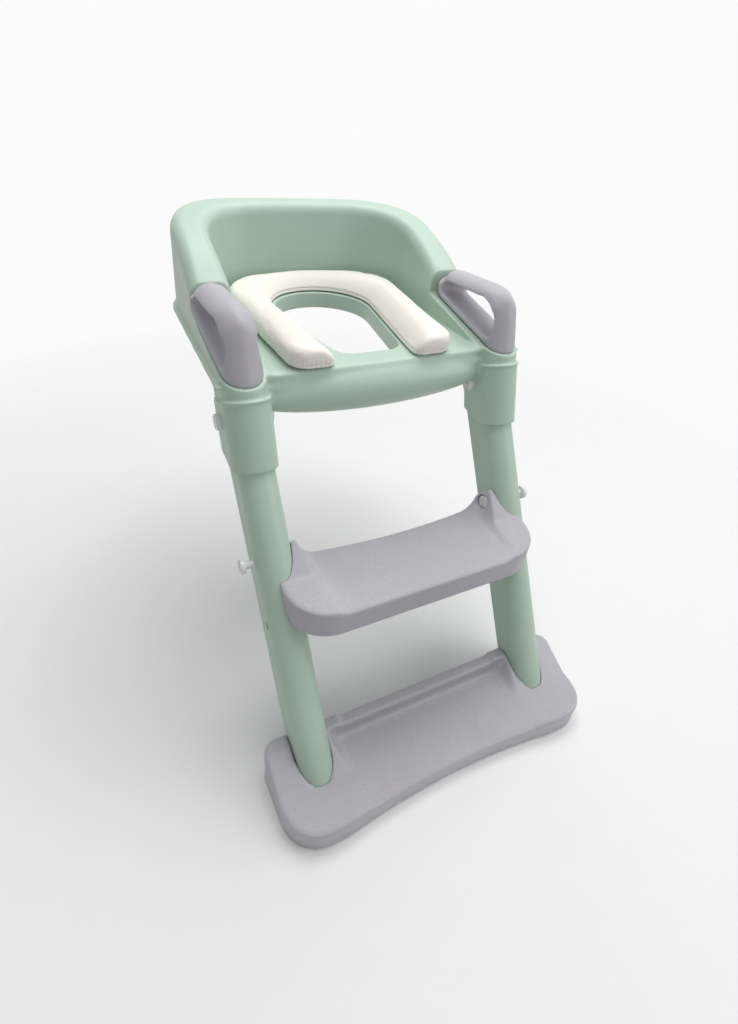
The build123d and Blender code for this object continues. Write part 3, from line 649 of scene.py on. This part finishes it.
def coveOf(node, look):
    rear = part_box(node)[1].y
    rampFrom, rampTo = (look["inside"] - run for run in stepShared["coveRamp"])
    wallFrom, wallTo = (rear - run for run in stepShared["coveWall"])
    sideFrom = look["still"] - stepShared["coveSide"]

    def weightAt(place, normal):
        # the hollow corners round the tread
        rise = place.z - look["tread"]
        height = between(rise, *stepShared["coveLow"])
        height *= 1 - between(rise, *stepShared["coveTop"])
        nearRamp = between(abs(place.x), rampFrom, rampTo)
        nearRamp *= 1 - between(abs(place.x), sideFrom, look["still"])
        nearWall = between(place.y, wallFrom, wallTo)
        facing = between(normal.z, *stepShared["coveFacing"])
        return max(nearRamp, nearWall) * height * facing
    return weightAt


for node, name, look, tread in (("middle_step", "middleStep", middleStepLook, middleTread),
                                ("base_step", "baseStep", baseStepLook, baseTread)):
    step = softened(node, name, look, shape=rampShape(look), weightAt=skinOf(node, look))
    smoothed(step, look["deepPasses"], coveOf(node, look))
    finished(step, tread, "ladder")
print("mouldings made")

# Cushion

padLook = {
    "voxel": 0.0045, "startInset": 0.0015, "pressure": 4, "frames": 20, "cap": 0.006,
    "flatBelow": 0.0025, "roundings": 2,
    "seamHeight": 0.0045, "seamDepth": 0.0011, "seamWidth": 0.0012, "seamFacing": 0.3,
    "gatherPitch": 0.0048, "gatherSlant": 0.4, "gatherDepth": 0.0007, "gatherRise": 0.006,
    "gatherReach": 0.03,
    "holeBack": 0.374, "holeHalf": 0.060, "mouthHalf": 0.043, "mouthRun": 0.148,
    "slopeWidth": 0.024, "slopeLow": 0.3, "creep": 0.008, "creepFrom": 0.2, "creepTo": 0.42,
}


def simulatedPad(piece, look, floorHeight):
    # air pressure swells the cover by the cap at most, and its base stays flat
    held = piece.vertex_groups.new(name="held")
    held.add([v.index for v in piece.data.vertices
              if v.co.z < floorHeight + look["flatBelow"]], 1, "ADD")
    start = [v.co.copy() for v in piece.data.vertices]
    cloth = piece.modifiers.new("cloth", "CLOTH")
    cloth.settings.use_pressure = True
    cloth.settings.uniform_pressure_force = look["pressure"]
    cloth.settings.effector_weights.gravity = 0
    cloth.settings.vertex_group_mass = "held"
    cloth.point_cache.frame_end = look["frames"]
    for step in range(1, look["frames"] + 1):
        bpy.context.scene.frame_set(step)
    swelled = piece.evaluated_get(bpy.context.evaluated_depsgraph_get())
    ends = [v.co.copy() for v in swelled.data.vertices]
    piece.modifiers.remove(cloth)
    bpy.context.scene.frame_set(1)
    for v, before, after in zip(piece.data.vertices, start, ends):
        move = after - before
        if move.length > look["cap"]:
            move *= look["cap"] / move.length
        v.co = before + move
    piece.vertex_groups.clear()


def innerSlope(piece, look, low):
    # the side towards the hole is a long soft slope
    half, narrower = look["holeHalf"], look["holeHalf"] - look["mouthHalf"]
    for v in piece.data.vertices:
        back = v.co.y - legFootY - look["holeBack"]
        if back > 0:
            depth = hypot(v.co.x, back) - half
        else:
            depth = abs(v.co.x) - (half + narrower * back / look["mouthRun"])
        share = min(1, max(0, depth / look["slopeWidth"]))
        rise = look["slopeLow"] + (1 - look["slopeLow"]) * sin(pi / 2 * share)
        v.co.z = low + (v.co.z - low) * rise


def settled(piece, look):
    # in use the pad's front has crept a little towards the left
    for v in piece.data.vertices:
        back = v.co.y - legFootY
        v.co.x -= look["creep"] * (1 - between(back, look["creepFrom"], look["creepTo"]))


def gatheredSeam(piece, look, low):
    # a stitched seam low on the sides, with gathers where it turns the front ends
    front = min(v.co.y for v in piece.data.vertices)
    outward = [Vector((v.normal.x, v.normal.y, 0)) for v in piece.data.vertices]
    for v, side in zip(piece.data.vertices, outward):
        if side.length < look["seamFacing"]:
            continue
        side.normalize()
        rise = v.co.z - low - look["seamHeight"]
        groove = look["seamDepth"] * exp(-(rise / look["seamWidth"]) ** 2)
        nearFront = max(0, 1 - (v.co.y - front) / look["gatherReach"])
        along = v.co.x - look["gatherSlant"] * v.co.y
        wave = 0.5 + 0.5 * sin(2 * pi * along / look["gatherPitch"])
        fade = exp(-abs(rise) / look["gatherRise"])
        v.co -= side * (groove + look["gatherDepth"] * nearFront * fade * wave)


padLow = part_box("seat_cushion")[0]
pad = remeshed(copyOfNode("seat_cushion", "seatPad"), padLook["voxel"])
bpy.ops.object.mode_set(mode="EDIT")
bpy.ops.mesh.select_all(action="SELECT")
bpy.ops.transform.shrink_fatten(value=-padLook["startInset"])
bpy.ops.object.mode_set(mode="OBJECT")
simulatedPad(pad, padLook, padLow.z + padLook["startInset"])
print("cushion swelled")
for rounding in range(padLook["roundings"]):
    rounded = pad.modifiers.new("rounded", "SUBSURF")
    rounded.levels = rounded.render_levels = 1
    applyAll(pad)
innerSlope(pad, padLook, padLow.z)
settled(pad, padLook)
gatheredSeam(pad, padLook, padLow.z)
for v in pad.data.vertices:
    v.co.z = max(v.co.z, padLow.z)
pick(pad)
bpy.ops.object.shade_smooth()
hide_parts("seat_cushion")
finished(pad, coverFabric, "cushion")
print("cushion made,", len(pad.data.polygons), "faces")

# Floor, background and lamps

stageLook = {
    "floorSize": 8, "floorColour": (0.95, 0.95, 0.95), "paper": 0.01, "paperScale": 30,
    "paperDetail": 3, "roughness": 0.9, "shine": 0.1, "fadeFrom": 0.36, "fadeTo": 1.15,
    "sky": 0.97, "fill": 0.28,
}


def fadingPaper(name, look):
    # white paper that fades into the background away from the middle
    material, nodes, links, shader = newMaterial(name)
    place = nodes.new("ShaderNodeTexCoord").outputs["Object"]
    reach = nodes.new("ShaderNodeVectorMath")
    reach.operation = "LENGTH"
    links.new(place, reach.inputs[0])
    fade = rangeOf(nodes, links, reach.outputs["Value"], 0, 1, look["fadeFrom"], look["fadeTo"])
    paper = noiseOf(nodes, links, place, look["paperScale"], look["paperDetail"])
    colour = mixOf(nodes, links, rangeOf(nodes, links, paper, 0, 1),
                   scaled(look["floorColour"], 1 - look["paper"]), look["floorColour"])
    links.new(colour, shader.inputs["Base Color"])
    shader.inputs["Roughness"].default_value = look["roughness"]
    shader.inputs["Specular IOR Level"].default_value = look["shine"]
    clear = nodes.new("ShaderNodeBsdfTransparent")
    blend = nodes.new("ShaderNodeMixShader")
    for socket, source in enumerate((fade, shader.outputs[0], clear.outputs[0])):
        links.new(source, blend.inputs[socket])
    links.new(blend.outputs[0], nodes["Material Output"].inputs["Surface"])
    return material


def studioWorld(name, look):
    # white where the camera or a reflection sees it, and a much weaker light all round
    world = bpy.data.worlds.new(name)
    world.use_nodes = True
    nodes, links = world.node_tree.nodes, world.node_tree.links
    background = nodes["Background"]
    background.inputs["Color"].default_value = (1, 1, 1, 1)
    path = nodes.new("ShaderNodeLightPath")
    seen = mathOf(nodes, links, "MAXIMUM", path.outputs["Is Camera Ray"],
                  path.outputs["Is Glossy Ray"])
    seen = mathOf(nodes, links, "MAXIMUM", seen, path.outputs["Is Transmission Ray"])
    links.new(rangeOf(nodes, links, seen, look["fill"], look["sky"], 0, 1),
              background.inputs["Strength"])
    return world


bpy.ops.mesh.primitive_plane_add(size=stageLook["floorSize"], location=(0, 0, 0))
floor = bpy.context.object
floor.name = "floor"
floor.data.materials.append(fadingPaper("floorPaper", stageLook))
bpy.context.scene.world = studioWorld("studio", stageLook)

lampAim = (0, 0, 0.25)
lampLook = {
    "top": {"place": (0.35, 0.35, 1.9), "size": 1.5, "power": 26},
    "right": {"place": (1.5, -1.1, 1.1), "size": 1.2, "power": 9},
    "left": {"place": (-1.2, -1.4, 1.7), "size": 1.6, "power": 3},
}
for name, look in lampLook.items():
    lamp = bpy.data.lights.new(name, "AREA")
    lamp.size = look["size"]
    lamp.energy = look["power"]
    lampObject = bpy.data.objects.new(name, lamp)
    bpy.context.scene.collection.objects.link(lampObject)
    lampObject.location = look["place"]
    aim = Vector(lampAim) - Vector(look["place"])
    lampObject.rotation_euler = aim.to_track_quat("-Z", "Y").to_euler()
print("stage made")
